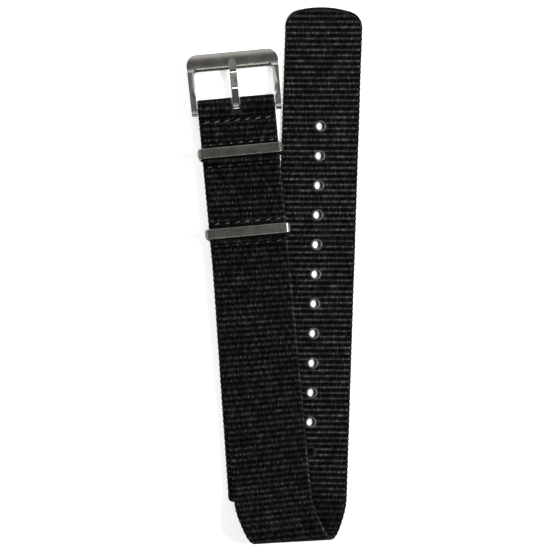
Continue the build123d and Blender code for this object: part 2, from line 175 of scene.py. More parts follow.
class Tree:
    """The node tree of one material, with its Principled shader."""

    def __init__(self, name: str) -> None:
        """Makes a material whose shader is plain so far.

        Args:
            name: the material's name.
        """
        self.material = bpy.data.materials.new(name)
        self.material.use_nodes = True
        self.nodes = self.material.node_tree.nodes
        self.links = self.material.node_tree.links
        self.nodes.clear()
        self.surface = self.nodes.new("ShaderNodeBsdfPrincipled")
        output = self.nodes.new("ShaderNodeOutputMaterial")
        self.links.new(self.surface.outputs["BSDF"], output.inputs["Surface"])

    def fill(self, target: bpy.types.Node, inputs: dict) -> None:
        """Links or sets the inputs of a node.

        Args:
            target: the node.
            inputs: values or sockets by the input's name or number.
        """
        for key, value in inputs.items():
            if isinstance(value, Value):
                self.links.new(value.socket, target.inputs[key])
            else:
                target.inputs[key].default_value = value

    def node(self, kind: str, settings: dict, inputs: dict, output: int | str = 0) -> Value:
        """Adds a node.

        Args:
            kind: the node's type.
            settings: its settings, which are set first.
            inputs: values or sockets by the input's name or number.
            output: the name or number of the output that is used.

        Returns:
            The chosen output.
        """
        made = self.nodes.new(kind)
        for name, setting in settings.items():
            setattr(made, name, setting)
        self.fill(made, inputs)
        return Value(self, made.outputs[output])

    def split(self, vector: Value) -> tuple[Value, ...]:
        """Returns the three parts of a vector."""
        return tuple(self.node("ShaderNodeSeparateXYZ", {}, {0: vector}, part) for part in range(3))

    def joined(self, x: Value | float, y: Value | float, z: Value | float = 0.0) -> Value:
        """Returns a vector made of three numbers."""
        return self.node("ShaderNodeCombineXYZ", {}, {0: x, 1: y, 2: z})

    def grain(self, place: Value, scale: float, detail: float = 2.0) -> Value:
        """Returns smooth noise about one half."""
        inputs = {"Vector": place, "Scale": scale, "Detail": detail}
        return self.node("ShaderNodeTexNoise", {}, inputs)

    def scatter(self, place: Value) -> Value:
        """Returns a number from 0 to 1 that is the same for the same place."""
        return self.node("ShaderNodeTexWhiteNoise", {}, {"Vector": place})

    def object_place(self, turn: float) -> Value:
        """Returns Object coordinates, turned back about +Z by an angle in degrees."""
        place = self.node("ShaderNodeTexCoord", {}, {}, "Object")
        return self.node("ShaderNodeMapping", {}, {"Vector": place, "Rotation": (0.0, 0.0, radians(-turn))})

    def attribute(self, name: str) -> Value:
        """Returns a number that the piece's own vertices carry."""
        return self.node("ShaderNodeAttribute", {"attribute_name": name}, {}, "Fac")

    def blend(self, low: Value | tuple, high: Colour, share: Value) -> Value:
        """Returns a colour that goes from the low one to the high one with a share."""
        inputs = {MIX_SHARE: share, MIX_LOW: low, MIX_HIGH: (*high, 1.0)}
        return self.node("ShaderNodeMix", {"data_type": "RGBA"}, inputs, MIX_RESULT)

    def shade(self, low: Colour, high: Colour, share: Value) -> Value:
        """Returns the blend of two plain colours by a share."""
        return self.blend((*low, 1.0), high, share)

    def raised(self, height: Value, distance: float, strength: float) -> Value:
        """Returns the normal of a surface with small relief of a height share and a real distance."""
        inputs = {"Height": height, "Distance": distance, "Strength": strength}
        return self.node("ShaderNodeBump", {}, inputs)

    def finished(self, inputs: dict) -> bpy.types.Material:
        """Returns the material, with its shader's own inputs filled."""
        self.fill(self.surface, inputs)
        return self.material


@dataclass(frozen=True)
class ByFace:
    """A number that differs between a strap's outer face and its inner one."""

    outer: float
    inner: float

    def at(self, inner: Value) -> Value:
        """Returns the number for a share of the inner face, from 0 to 1."""
        return self.outer + inner * (self.inner - self.outer)


@dataclass(frozen=True)
class WovenNylon:
    """Black ribbed nylon: warp yarns that pass over thick weft ribs, with melted places that shine.

    On the outer face the yarns stand apart and show most of their length. On the inner face they are packed,
    and only the ribs' crests show a painted highlight. The colour also holds painted shade in the rib valleys
    and between the yarns, and painted highlights along one selvedge of the outer face and at the edges of
    melted places.
    Near the fold, painted shade dims the crests' painted highlights.
    """

    name: str = "ribbed_nylon"
    rib_pitch: float = RIB_PITCH
    yarn_pitch: float = 0.0005
    wander_scale: float = 900.0
    yarn_wander: float = 0.3
    rib_wander: float = 0.16
    stagger: float = 0.13
    inner_steadiness: float = 0.6
    yarn_power: ByFace = ByFace(1.5, 2.0)
    crest_reach: ByFace = ByFace(0.54, 0.48)
    crest_power: float = 1.2
    packing: float = 0.5
    packed_power: float = 1.5
    # Strengths of the painted highlight on the ribs' crests.
    shine: ByFace = ByFace(0.45, 1.15)
    bead_shine: ByFace = ByFace(1.4, 0.7)
    even_shine: ByFace = ByFace(0.26, 0.24)
    bead_power: float = 3.0
    patch_scale: float = 260.0
    patch_detail: float = 3.0
    patch_gain: float = 1.7
    patch_floor: float = 0.3
    # How much painted shade near the fold dims the painted crest highlights.
    fold_shade_dimming: float = 0.85
    # Painted highlights along one selvedge of the outer face and at the edges of melted places.
    selvedge_from: float = 0.0095
    selvedge_width: float = 0.0003
    selvedge_shine: float = 0.05
    selvedge_bead_shine: float = 0.25
    melt_rim_shine: float = 0.3
    loose_seed: float = 5.0
    loose_power: float = 2.0
    loose_tint: float = 0.8
    bead_tint: float = 0.8
    even_tint: float = 0.35
    # Valley to slope is painted shade, from the rib valleys and gaps between yarns to the lit flanks. The
    # crest colour is the painted highlight's colour. Melted is the melted nylon's own colour.
    valley: Colour = (0.0003, 0.0003, 0.00035)
    slope: Colour = (0.0125, 0.0122, 0.0125)
    crest_highlight: Colour = (0.19, 0.187, 0.185)
    melted: Colour = (0.006, 0.006, 0.0058)
    roughness: float = 0.7
    specular: float = 0.02
    melted_coat: float = 0.3
    coat_roughness: float = 0.25
    relief: float = 0.00008
    low_height: float = 0.45
    melt_flatness: float = 0.85

    def build(self) -> bpy.types.Material:
        """Builds the material.

        Returns:
            The material, which reads a strap's own map and vertex values.
        """
        tree = Tree(self.name)
        across, along, _ = tree.split(tree.node("ShaderNodeUVMap", {"uv_map": STRIP_UV}, {}))
        inner = tree.attribute(INNER).within()
        melt = tree.attribute(MELT).within()
        unmelted = 1.0 - melt
        # Painted shade near the fold dims the painted crest highlights on the inner face there.
        unshaded_yarn = 1.0 - tree.attribute(FOLD_SHADE) * inner * self.fold_shade_dimming

        wander = tree.grain(tree.joined(across, along), self.wander_scale) - 0.5
        yarn = across / self.yarn_pitch + wander * self.yarn_wander
        stagger = tree.scatter(tree.joined(yarn.whole(), inner.whole())) - 0.5
        unsteady = 1.0 - inner * self.inner_steadiness
        rib = along / self.rib_pitch + wander * self.rib_wander + stagger * unsteady * self.stagger
        yarn_round = 1.0 - abs(yarn.fraction() * 2.0 - 1.0) ** self.yarn_power.at(inner)
        from_crest = abs((rib + 0.5).fraction() - 0.5) * 2.0
        crest_highlight = (1.0 - from_crest / self.crest_reach.at(inner)).within() ** self.crest_power
        flank = (1.0 - from_crest).within()
        bead = tree.scatter(tree.joined(yarn.whole(), (rib + 0.5).whole()))
        loose = tree.scatter(tree.joined(yarn.whole(), rib.whole(), self.loose_seed))
        patch = tree.grain(tree.joined(across, along), self.patch_scale, self.patch_detail)

        # Painted highlight on the ribs' crests: stronger on random beads, patchy, and dimmed by painted shade
        # near the fold.
        packed = yarn_round**self.packed_power * (1.0 - inner * self.packing) + inner * self.packing
        beaded = bead**self.bead_power * self.bead_shine.at(inner) + self.even_shine.at(inner)
        bright = crest_highlight * packed * self.shine.at(inner) * beaded
        bright = bright * (patch * self.patch_gain - self.patch_floor).within() * unmelted * unshaded_yarn
        # Painted highlight along one selvedge of the outer face, and a painted highlight line at the edge of
        # each melted place.
        edge = ((across - self.selvedge_from) / self.selvedge_width).within() * (1.0 - inner)
        edge_shine = self.selvedge_shine + self.selvedge_bead_shine * bead * flank
        bright = bright + edge * edge_shine * unmelted + melt * unmelted * self.melt_rim_shine

        # Painted shade darkens the rib valleys and the gaps between yarns; loose yarns add a random tone.
        shade_and_tone = (flank + loose**self.loose_power * self.loose_tint) * yarn_round
        colour = tree.shade(self.valley, self.slope, shade_and_tone * (bead * self.bead_tint + self.even_tint))
        colour = tree.blend(colour, self.crest_highlight, bright.within())
        colour = tree.blend(colour, self.melted, melt)
        height = self.low_height + (1.0 - self.low_height) * flank
        height = yarn_round * height * (1.0 - self.melt_flatness * melt)
        return tree.finished(
            {
                "Base Color": colour,
                "Roughness": self.roughness,
                "Normal": tree.raised(height, self.relief, 1.0),
                "Specular IOR Level": self.specular,
                "Coat Weight": melt * self.melted_coat,
                "Coat Roughness": self.coat_roughness,
            }
        )


@dataclass(frozen=True)
class FineNylon:
    """Black nylon whose colour, gloss and surface all follow one fine grain."""

    name: str
    dark: Colour
    light: Colour
    grain: float
    grain_depth: float
    bump_strength: float
    roughness: float
    roughness_range: float
    detail: float = 3.0
    contrast: float = 2.0

    def build(self) -> bpy.types.Material:
        """Builds the material.

        Returns:
            The material.
        """
        tree = Tree(self.name)
        grain = tree.grain(tree.object_place(0.0), 1 / self.grain, self.detail)
        return tree.finished(
            {
                "Base Color": tree.shade(self.dark, self.light, grain**self.contrast),
                "Roughness": self.roughness + grain * self.roughness_range,
                "Normal": tree.raised(grain, self.grain_depth, self.bump_strength),
            }
        )


# Nylon that has run and set again, smooth and a little streaked
MELTED_NYLON = FineNylon(
    name="melted_nylon",
    dark=(0.03, 0.03, 0.03),
    light=(0.2, 0.2, 0.195),
    grain=0.0003,
    grain_depth=0.00003,
    bump_strength=0.5,
    roughness=0.2,
    roughness_range=0.25,
)

# Bonded thread, glossier than the webbing
SEWING_THREAD = FineNylon(
    name="sewing_thread",
    dark=(0.05, 0.05, 0.05),
    light=(0.22, 0.22, 0.217),
    grain=0.00024,
    grain_depth=0.00006,
    bump_strength=0.6,
    roughness=0.3,
    roughness_range=0.3,
)


@dataclass(frozen=True)
class Steel:
    """Stainless steel with a brushed grain that runs one way."""

    name: str
    dark: Colour
    light: Colour
    roughness: float
    along_y: bool = False
    grain_length: float = 0.006
    grain_width: float = 0.00007
    grain_depth: float = 0.000004
    grain_detail: float = 4.0
    bump_strength: float = 0.5
    cloud_scale: float = 350.0
    cloud_detail: float = 3.0
    grain_share: float = 0.75
    cloud_share: float = 0.6
    share_floor: float = 0.2
    grain_roughness: float = 0.16
    cloud_roughness: float = 0.08

    def build(self, turn: float) -> bpy.types.Material:
        """Builds the material.

        Args:
            turn: how far the grain is turned about +Z, in degrees.

        Returns:
            The material.
        """
        tree = Tree(self.name)
        place = tree.object_place(turn)
        x, y, z = tree.split(place)
        if self.along_y:
            x, y = y, x
        drawn_out = tree.joined(x / self.grain_length, y / self.grain_width, z / self.grain_width)
        streaks = tree.grain(drawn_out, 1.0, self.grain_detail)
        clouds = tree.grain(place, self.cloud_scale, self.cloud_detail)
        share = (streaks * self.grain_share + clouds * self.cloud_share - self.share_floor).within()
        roughness = self.roughness + (streaks - 0.5) * self.grain_roughness
        return tree.finished(
            {
                "Base Color": tree.shade(self.dark, self.light, share),
                "Metallic": 1.0,
                "Roughness": roughness + (clouds - 0.5) * self.cloud_roughness,
                "Normal": tree.raised(streaks, self.grain_depth, self.bump_strength),
            }
        )


BRUSHED = Steel("brushed_steel", dark=(0.26, 0.25, 0.227), light=(0.465, 0.45, 0.418), roughness=0.25)
SATIN = Steel("satin_steel", dark=(0.14, 0.137, 0.123), light=(0.31, 0.303, 0.272), roughness=0.28)
TONGUE = Steel("tang_steel", dark=(0.4, 0.385, 0.355), light=(0.62, 0.6, 0.565), roughness=0.16, along_y=True)
TURNED = Steel("turned_steel", dark=(0.45, 0.44, 0.42), light=(0.62, 0.61, 0.59), roughness=0.3, along_y=True)
WIRE = Steel("drawn_wire", dark=(0.4, 0.4, 0.39), light=(0.6, 0.6, 0.59), roughness=0.28)

STEEL_PIECES = {
    "buckle_frame": BRUSHED,
    "buckle_tang": TONGUE,
    "keeper_ring_upper": SATIN,
    "keeper_ring_lower": SATIN,
    "spring_bar_tube": TURNED,
    "spring_bar_pin_left": TURNED,
    "spring_bar_pin_right": TURNED,
    "spring_bar_spring": WIRE,
}


# Mesh helpers


def soft_step(share: float) -> float:
    """Returns a share from 0 to 1 that starts and ends gently."""
    held = min(max(share, 0.0), 1.0)
    return held * held * (3.0 - 2.0 * held)


def bump(distance: float, width: float) -> float:
    """Returns a smooth hump of height 1 and a half width, at a distance from its middle."""
    return exp(-((distance / width) ** 2))


def arc_drop(radius: float, place: float) -> float:
    """Returns how far an arc has fallen from its crown at a place beside it."""
    return radius - sqrt(max(radius**2 - place**2, 0.0))


def rolled_grid(rows: int, around: int) -> bmesh.types.BMesh:
    """A grid whose vertices know their row and their place round the section.

    Args:
        rows: faces along the tube.
        around: faces round it.

    Returns:
        The grid, with the whole numbers "row" and "spot" on its vertices.
    """
    half = 0.5
    mesh = bmesh.new()
    bmesh.ops.create_grid(mesh, x_segments=rows, y_segments=around, size=half)
    row = mesh.verts.layers.int.new("row")
    spot = mesh.verts.layers.int.new("spot")
    for vert in mesh.verts:
        vert[row] = round((vert.co.x + half) * rows)
        vert[spot] = round((vert.co.y + half) * around)
    return mesh


def close_tube(mesh: bmesh.types.BMesh, gap: float) -> None:
    """Joins the long edges of a rolled grid, closes its two ends and turns its faces outwards.

    Args:
        mesh: the grid, already rolled into a tube.
        gap: vertices that are closer than this are one.
    """
    bmesh.ops.remove_doubles(mesh, verts=mesh.verts, dist=gap)
    rims = [edge for edge in mesh.edges if edge.is_boundary]
    if rims:
        bmesh.ops.holes_fill(mesh, edges=rims, sides=0)
    bmesh.ops.recalc_face_normals(mesh, faces=mesh.faces)


def joined(meshes: Iterable[bmesh.types.BMesh]) -> bmesh.types.BMesh:
    """Joins several meshes.

    Args:
        meshes: the meshes, which are freed.

    Returns:
        One mesh that holds them all.
    """
    whole = bmesh.new()
    for mesh in meshes:
        data = bpy.data.meshes.new("part")
        mesh.to_mesh(data)
        mesh.free()
        whole.from_mesh(data)
        bpy.data.meshes.remove(data)
    return whole


def piece_of(mesh: bmesh.types.BMesh, name: str, material: bpy.types.Material) -> bpy.types.Object:
    """Turns a finished bmesh into a smooth piece of the scene.

    Args:
        mesh: the bmesh, which is freed.
        name: the piece's name.
        material: its material.

    Returns:
        The piece.
    """
    for face in mesh.faces:
        face.smooth = True
    data = bpy.data.meshes.new(name)
    mesh.to_mesh(data)
    mesh.free()
    data.materials.append(material)
    piece = bpy.data.objects.new(name, data)
    bpy.context.scene.collection.objects.link(piece)
    return piece


# How a strap lies


@dataclass(frozen=True)
class Spot:
    """A place on a strap's centre line: its point, the way across and the way out of the inner face."""

    point: Vector
    across: Vector
    out: Vector


class Path:
    """A strap's centre line seen from its edge, walked as straight runs and round turns."""

    def __init__(self, along: float, height: float, heading: float) -> None:
        """Starts at a place and heading.

        Args:
            along: place along the strap.
            height: height above the table.
            heading: heading in degrees, 0 along the strap and 90 upwards.
        """
        self.spots = [(along, height, heading)]
        self.pieces: list[tuple[float, float, float]] = []

    def run(self, length: float) -> None:
        """Goes straight on.

        Args:
            length: how far.
        """
        along, height, heading = self.spots[-1]
        self.pieces.append((length, 0.0, 0.0))
        turn = radians(heading)
        self.spots.append((along + length * cos(turn), height + length * sin(turn), heading))

    def run_to(self, along: float) -> None:
        """Goes straight on to a place along the strap."""
        start, _, heading = self.spots[-1]
        self.run((along - start) / cos(radians(heading)))

    def turn(self, radius: float, angle: float) -> None:
        """Turns on a radius by an angle in degrees, to the left where it is positive."""
        self.pieces.append((radius * radians(abs(angle)), radius, angle))
        self.spots.append(self.turned(self.spots[-1], radius, angle))

    def turned(self, spot: tuple, radius: float, angle: float) -> tuple[float, float, float]:
        """Works out where a turn ends.

        Args:
            spot: place along, height and heading at its start.
            radius: its radius.
            angle: its angle in degrees, to the left where it is positive.

        Returns:
            Place along, height and heading at its end.
        """
        along, height, heading = spot
        side = radius if angle > 0 else -radius
        start = radians(heading)
        end = radians(heading + angle)
        forward = side * (sin(end) - sin(start))
        rise = -side * (cos(end) - cos(start))
        return along + forward, height + rise, heading + angle

    def length(self) -> float:
        """Returns the length of the whole line."""
        return sum(piece[0] for piece in self.pieces)

    def at(self, distance: float) -> tuple[float, float, float]:
        """Finds a place on the line.

        Args:
            distance: distance along the line, which may go past its end.

        Returns:
            Place along, height and heading.
        """
        for spot, (length, radius, angle) in zip(self.spots, self.pieces):
            if distance <= length:
                break
            distance -= length
        else:
            distance += length
        if radius:
            return self.turned(spot, radius, angle * distance / length)
        turn = radians(spot[2])
        return spot[0] + distance * cos(turn), spot[1] + distance * sin(turn), spot[2]


@dataclass
class Lie:
    """How the long strap lies: round the spring bar, over the keepers' tunnels, through the fold and back.

    Its inner face is the one towards the spring bar, and the tail shows it. Tunnels and seams are measured
    from the spring bar. A distance along the strap starts at its sewn end.
    """

    bar: Vector
    lean: float
    tunnels: tuple[float, ...]
    first_seam: float = 0.0031
    beside_tunnel: float = 0.0027
    halvings: int = 40
    thickness: float = THICKNESS
    ply_gap: float = 0.00005
    main_length: float = 0.0951
    fold_back: float = 0.017
    bar_loop_radius: float = 0.0022
    bar_foot_radius: float = 0.0016
    tunnel_height: float = 0.0013
    tunnel_flat: float = 0.0023
    tunnel_bend_radius: float = 0.00105
    tail_lean: float = 1.9
    tail_foot_gap: float = 0.0099036
    fold_turn: float = 3.15
    fold_radius: float = 0.0036
    fold_rise_radius: float = 0.009
    fold_rise_angle: float = 25.0
    fold_drift_share: float = 0.7
    tail_length: float = 0.12025

    def __post_init__(self) -> None:
        """Works out the seams, the layers' heights, the two paths and the frames that they lie in."""
        beside = [tunnel + side * self.beside_tunnel for tunnel in self.tunnels for side in (-1, 1)]
        self.seams = (self.first_seam, *beside)
        self.floor_mid = self.thickness / 2
        self.under_bottom = self.thickness + self.ply_gap
        self.front_mid = 2 * self.thickness + 2 * self.ply_gap + self.floor_mid
        self.front_top = self.front_mid + self.floor_mid
        self.main_leg = self.lean - self.fold_turn
        self.tail_leg = self.tail_lean + self.fold_turn
        ground = Vector((self.bar.x, self.bar.y, 0.0))
        self.main_frame = Matrix.Translation(ground) @ Matrix.Rotation(radians(self.lean), 4, "Z")
        foot = self.main_frame @ Vector((0.0, -self.main_length, 0.0))
        self.fold_frame = Matrix.Translation(foot) @ Matrix.Rotation(radians(self.fold_turn), 4, "Z")
        self.buckle_end = self.buckle_end_path()
        self.fold = self.fold_path()
        self.fold_start = self.buckle_end.length()
        self.tail_start = self.fold_start + self.fold.length()
        self.length = self.tail_start + self.tail_length

    def buckle_end_path(self) -> Path:
        """Draws the buckle end.

        Returns:
            The path of the fold-back, the turn round the spring bar and the front layer.
        """
        path = Path(-self.fold_back, self.floor_mid, 0.0)
        path.run_to(0.0)
        drop = self.floor_mid + 2 * self.bar_loop_radius - self.front_mid
        dip = degrees(acos(1 - drop / (self.bar_loop_radius + self.bar_foot_radius)))
        path.turn(self.bar_loop_radius, HALF_TURN + dip)
        path.turn(self.bar_foot_radius, -dip)
        rise = self.tunnel_height - self.ply_gap
        bend = degrees(acos(1 - rise / (2 * self.tunnel_bend_radius)))
        climb = 2 * self.tunnel_bend_radius * sin(radians(bend))
        for distance in self.tunnels:
            path.run_to(self.tunnel_flat / 2 + climb - distance)
            path.turn(self.tunnel_bend_radius, -bend)
            path.turn(self.tunnel_bend_radius, bend)
            path.run(self.tunnel_flat)
            path.turn(self.tunnel_bend_radius, bend)
            path.turn(self.tunnel_bend_radius, -bend)
        path.run_to(-self.main_length)
        return path

    def fold_path(self) -> Path:
        """Draws the fold.

        Returns:
            Its path, seen along the line that it is rolled about.
        """
        path = Path(0.0, self.front_mid, HALF_TURN)
        path.turn(self.fold_rise_radius, -self.fold_rise_angle)
        lift = 2 * self.fold_radius + self.floor_mid - self.front_mid
        bends = (self.fold_rise_radius + self.fold_radius) * (1 - cos(radians(self.fold_rise_angle)))
        path.run((lift - bends) / sin(radians(self.fold_rise_angle)))
        path.turn(self.fold_radius, HALF_TURN + self.fold_rise_angle)
        path.run_to(0.0)
        return path

    def fold_lean(self, distance: float) -> float:
        """Returns the strap's lean from the roll at a distance along the fold, in degrees."""
        return self.main_leg + (self.tail_leg - self.main_leg) * distance / self.fold.length()

    def fold_shift(self, distance: float) -> float:
        """Works out the strap's sideways way through the fold.

        Args:
            distance: distance along the fold.

        Returns:
            How far the strap has moved sideways there.
        """
        length = self.fold.length()
        by_lean = distance * tan(radians(self.main_leg + self.fold_lean(distance)) / 2)
        drift = self.tail_foot_gap - length * tan(radians(self.main_leg + self.tail_leg) / 2)
        share = (distance / length - 0.5) / self.fold_drift_share + 0.5
        return by_lean + drift * soft_step(share)

    def spot(self, distance: float) -> Spot:
        """Finds a spot on the strap.

        Args:
            distance: distance along the strap from its sewn end.

        Returns:
            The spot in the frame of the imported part.
        """
        if distance <= self.fold_start:
            along, height, heading = self.buckle_end.at(distance)
            return self.framed(self.main_frame, Vector((0.0, along, height)), 0.0, heading)
        if distance <= self.tail_start:
            past = distance - self.fold_start
            along, height, heading = self.fold.at(past)
            point = Vector((self.fold_shift(past), along, height))
            return self.framed(self.fold_frame, point, self.fold_lean(past), heading)
        past = distance - self.tail_start
        turn = radians(self.tail_leg)
        point = Vector((self.tail_foot_gap + past * sin(turn), past * cos(turn), self.floor_mid))
        return self.framed(self.fold_frame, point, self.tail_leg, FULL_TURN)

    def framed(self, frame: Matrix, point: Vector, lean: float, heading: float) -> Spot:
        """Places a spot.

        Args:
            frame: the frame that the point is in.
            point: the point.
            lean: lean of the strap from the frame's own Y, in degrees.
            heading: heading of the strap seen from its edge, in degrees.

        Returns:
            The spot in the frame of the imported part.
        """
        turn = radians(heading)
        forward = Vector((0.0, cos(turn), sin(turn)))
        out = Vector((0.0, -sin(turn), cos(turn)))
        across = Vector((cos(radians(lean)), 0.0, 0.0)) - forward * sin(radians(lean))
        turned = frame.to_3x3()
        return Spot(frame @ point, turned @ across, turned @ out)

    def front_distance(self, from_bar: float) -> float:
        """Finds a place on the front layer.

        Args:
            from_bar: its distance from the spring bar.

        Returns:
            Its distance along the strap.
        """
        low, high = self.fold_back + self.bar_loop_radius * pi, self.fold_start
        for _ in range(self.halvings):
            middle = (low + high) / 2
            if self.buckle_end.at(middle)[0] > -from_bar:
                low = middle
            else:
                high = middle
        return low


# Webbing


@dataclass(frozen=True)
class Opening:
    """An opening melted through a flat strap: round where its power is 2, and squarer where it is more.

    A lip of nylon that was pushed aside can reach in from its right, below the strap's upper face.
    """

    along: float
    half_wide: float
    half_long: float
    power: float = 2.0
    lip: float = 0.0

    def lip_at(self, height: float) -> float:
        """Returns how far the lip reaches in, on the lower face alone."""
        return self.lip if height < 0 else 0.0

    def middle(self, height: float) -> Vector:
        """Returns the opening's middle at a height from the strap's mid-plane."""
        return Vector((-self.lip_at(height) / 2, self.along, height))

    def reach(self, place: Vector) -> float:
        """Measures a place against the opening.

        Args:
            place: the place.

        Returns:
            1 on the opening's rim, less inside it and more outside.
        """
        lip = self.lip_at(place.z)
        wide = abs((place.x + lip / 2) / (self.half_wide - lip / 2)) ** self.power
        return (wide + abs((place.y - self.along) / self.half_long) ** self.power) ** (1 / self.power)


@dataclass
class Webbing:
    """A length of ribbed webbing, woven flat, cut, pierced, and then laid along its place.

    It is woven with its inner face up, and its seams draw in the outer face. A strap that has no fold keeps
    the place of one far off.
    """

    name: str
    length: float
    width: float
    thickness: float = THICKNESS
    merge_gap: float = 0.0000012
    rib_pitch: float = RIB_PITCH
    rib_start: float = 0.000725
    rib_skew: float = 0.033
    fold_skew: float = -0.02
    fold_at: float = -1.0
    fold_reach: float = 0.035
    # Where painted shade falls past the fold, and how far it reaches.
    fold_shade_at: float = 0.026
    fold_shade_reach: float = 0.0075
    rib_depth: float = 0.00012
    rib_power: float = 0.75
    rib_drift: float = 0.1
    drift_scales: tuple[float, float] = (160.0, 60.0)
    drift_seed: float = 4.0
    rib_strength: float = 0.88
    rib_unevenness: float = 0.3
    uneven_scales: tuple[float, float] = (220.0, 0.73)
    uneven_seed: float = 9.0
    melted_rib: float = 0.9
    rows_per_rib: int = 6
    selvedge: float = 0.0005
    edge_width: float = 0.0016
    scallop: float = 0.00016
    wander: float = 0.00005
    wander_scale: float = 90.0
    right_seed: float = 2.0
    left_seed: float = 7.0
    columns: tuple[float, ...] = (
        0.0, 0.00025, 0.0005, 0.00075, 0.001, 0.0012, 0.0015, 0.002,
        0.003, 0.0042, 0.0055, 0.0068, 0.0079, 0.0087,
    )
    edge_steps: int = 6
    seams: tuple[float, ...] = ()
    seam_depth: float = 0.0002
    seam_half_width: float = 0.0006
    seam_reach: float = 4.0

    def section(self) -> list[tuple[float, float]]:
        """Draws the section.

        Returns:
            The points round it, as places across and shares of half the thickness.
        """
        inner = [-place for place in reversed(self.columns[1:])] + list(self.columns)
        face = [-self.width / 2 + self.selvedge, *inner, self.width / 2 - self.selvedge]
        steps = [pi * step / self.edge_steps for step in range(1, self.edge_steps)]
        right = [(self.width / 2 - self.selvedge + self.selvedge * sin(turn), cos(turn)) for turn in steps]
        left = [(-across, -high) for across, high in right]
        return [(place, 1.0) for place in face] + right + [(place, -1.0) for place in reversed(face)] + left

    def rib_place(self, across: float, along: float) -> float:
        """Returns the place along the strap that counts for the ribs, which don't cross it quite squarely."""
        turned = (self.fold_skew - self.rib_skew) * bump(along - self.fold_at, self.fold_reach)
        return along + self.rib_start - (self.rib_skew + turned) * across

    def rib(self, across: float, along: float) -> float:
        """Works out the weft ribs' height.

        Args:
            across: place across the strap.
            along: place along it.

        Returns:
            Their share of the height, from 0 in a valley to 1 on a crest.
        """
        drift_place = (across * self.drift_scales[0], along * self.drift_scales[1], self.drift_seed)
        drift = self.rib_drift * noise(Vector(drift_place))
        phase = self.rib_place(across, along) / self.rib_pitch + drift
        number = floor(phase + 0.5)
        uneven_place = (across * self.uneven_scales[0], number * self.uneven_scales[1], self.uneven_seed)
        strength = self.rib_strength + self.rib_unevenness * noise(Vector(uneven_place))
        return min(abs(cos(pi * phase)) ** self.rib_power * strength, 1.0)

    def woven(self) -> bmesh.types.BMesh:
        """Weaves the strap flat.

        Returns:
            A closed tube of the section, with x across, y along and z up.
        """
        section = self.section()
        rows = round(self.length / self.rib_pitch * self.rows_per_rib)
        mesh = rolled_grid(rows, len(section))
        row = mesh.verts.layers.int["row"]
        spot = mesh.verts.layers.int["spot"]
        for vert in mesh.verts:
            across, high = section[vert[spot] % len(section)]
            vert.co = (across, self.length * vert[row] / rows, high * self.thickness / 2)
        close_tube(mesh, self.merge_gap)
        return mesh

    def pierce(self, mesh: bmesh.types.BMesh, opening: Opening) -> None:
        """Melts an opening through the flat strap.

        Args:
            mesh: the flat strap.
            opening: its place, size and lip.
        """
        near = opening.half_long + self.rib_pitch
        close = [face for face in mesh.faces if abs(face.calc_center_median().y - opening.along) < near]
        gone = [face for face in close if opening.reach(face.calc_center_median()) < 1.0]
        bmesh.ops.delete(mesh, geom=gone, context="FACES")
        rim = [edge for edge in mesh.edges if edge.is_boundary]
        for vert in {vert for edge in rim for vert in edge.verts}:
            middle = opening.middle(vert.co.z)
            vert.co = middle + (vert.co - middle) / opening.reach(vert.co)
        bmesh.ops.bridge_loops(mesh, edges=rim)

    def relief(self, mesh: bmesh.types.BMesh, melt_at: Callable[[float, float], float]) -> None:
        """Raises the ribs, draws in the seams, and keeps where the strap is melted and where painted shade
        falls near the fold.

        Args:
            mesh: the flat strap.
            melt_at: returns how far the strap is melted at a place across and along it, from 0 to 1.
        """
        melt_layer = mesh.verts.layers.float.new(MELT)
        inner_layer = mesh.verts.layers.float.new(INNER)
        fold_shade_layer = mesh.verts.layers.float.new(FOLD_SHADE)
        for vert in mesh.verts:
            across, along, high = vert.co
            melt = melt_at(across, along)
            vert[melt_layer] = melt
            # Painted shade near the fold, for the material to dim its painted crest highlights.
            vert[fold_shade_layer] = bump(along - self.fold_at - self.fold_shade_at, self.fold_shade_reach)
            rib = self.rib(across, along) * (1 - melt) + self.melted_rib * melt
            share = high / (self.thickness / 2)
            vert[inner_layer] = 0.5 + share / 2
            depth = self.rib_depth * (1 - rib)
            for seam in self.seams:
                if share < 0 and abs(along - seam) < self.seam_reach * self.seam_half_width:
                    depth += self.seam_depth * bump(along - seam, self.seam_half_width)
            edge = soft_step((abs(across) - self.width / 2 + self.edge_width) / self.edge_width)
            seed = self.right_seed if across > 0 else self.left_seed
            wave = self.wander * noise(Vector((0.0, along * self.wander_scale, seed)))
            draw_in = self.scallop * (1 - rib) - wave
            vert.co.x -= edge * draw_in * (1 if across > 0 else -1)
            vert.co.z -= share * depth

    def unrolled(self, mesh: bmesh.types.BMesh) -> None:
        """Keeps the flat places across the ribs and along them as the strap's own map.

        Args:
            mesh: the flat strap.
        """
        layer = mesh.loops.layers.uv.new(STRIP_UV)
        for face in mesh.faces:
            for loop in face.loops:
                across, along, _ = loop.vert.co
                loop[layer].uv = (across, self.rib_place(across, along))

    def laid(self, mesh: bmesh.types.BMesh, spot_at: Callable[[float], Spot]) -> None:
        """Lays the flat strap along its place.

        Args:
            mesh: the flat strap.
            spot_at: returns the spot at a distance along it.
        """
        for vert in mesh.verts:
            across, along, high = vert.co
            spot = spot_at(along)
            vert.co = spot.point + spot.across * across + spot.out * high


